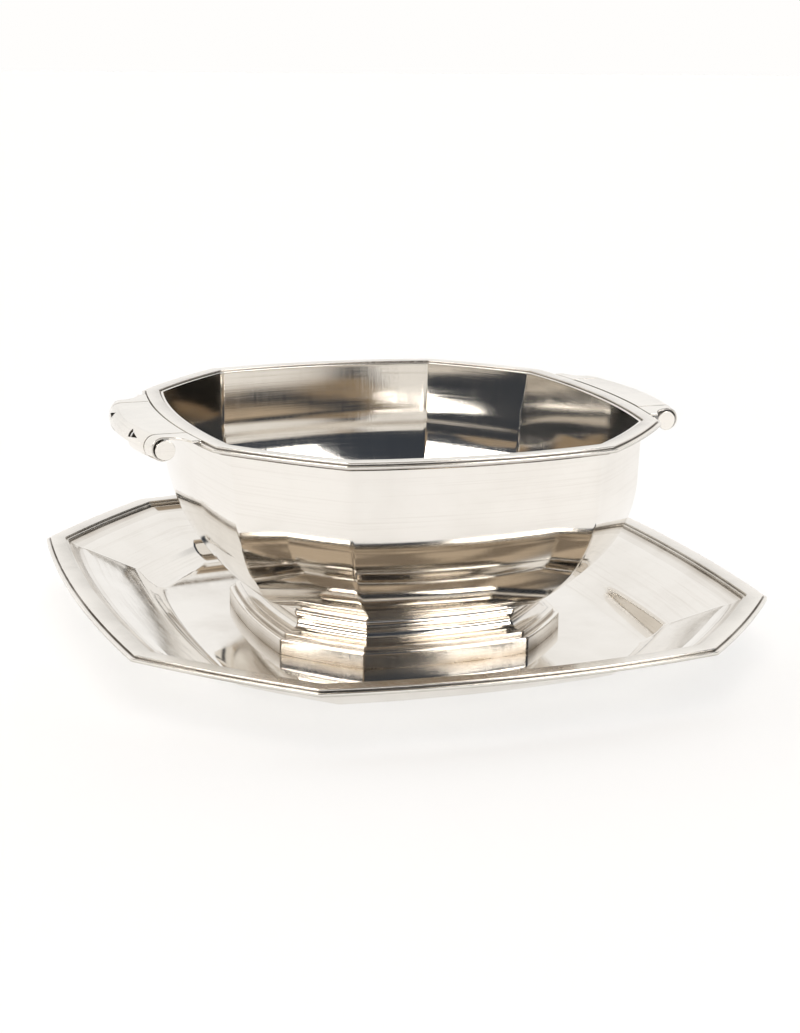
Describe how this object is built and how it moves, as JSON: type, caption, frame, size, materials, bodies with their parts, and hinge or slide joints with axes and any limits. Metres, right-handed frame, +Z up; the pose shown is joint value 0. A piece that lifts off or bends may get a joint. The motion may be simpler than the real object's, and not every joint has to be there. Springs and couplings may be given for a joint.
{
  "type": "sauce boat",
  "caption": "Octagonal silver sauce boat with bowed sides and two rolled lug handles, on a stepped foot fixed to its own octagonal undertray.",
  "frame": {"origin": "on the table plane, under the centre of the tray", "axes": "+X through the two handles, +Y across them, +Z up"},
  "size_m": [0.2296, 0.2528, 0.078],
  "materials": {
    "polished_silver": "hand polished silver with fine wear scratches",
    "border_silver": "polished silver with tarnish in the steps",
    "foot_silver": "polished silver, darker in the grooves",
    "handle_silver": "polished silver, softly worn on the rolls",
    "fixing_steel": "plain turned metal"
  },
  "bodies": {
    "root": {"bowl_shell": "polished_silver", "rim_plate": "polished_silver", "rim_bead": "border_silver", "tray_plate": "polished_silver", "tray_border_plate": "polished_silver", "tray_border_bead": "border_silver", "foot_neck": "foot_silver", "foot_plinth": "foot_silver", "foot_base_plate": "foot_silver", "left_handle_ribbon": "handle_silver", "right_handle_ribbon": "handle_silver", "left_handle_front_band": "handle_silver", "left_handle_back_band": "handle_silver", "right_handle_front_band": "handle_silver", "right_handle_back_band": "handle_silver", "left_handle_front_plug": "handle_silver", "left_handle_back_plug": "handle_silver", "right_handle_front_plug": "handle_silver", "right_handle_back_plug": "handle_silver", "fixing_stud": "fixing_steel", "fixing_washer": "fixing_steel", "fixing_nut": "fixing_steel"}
  },
  "joints": []
}
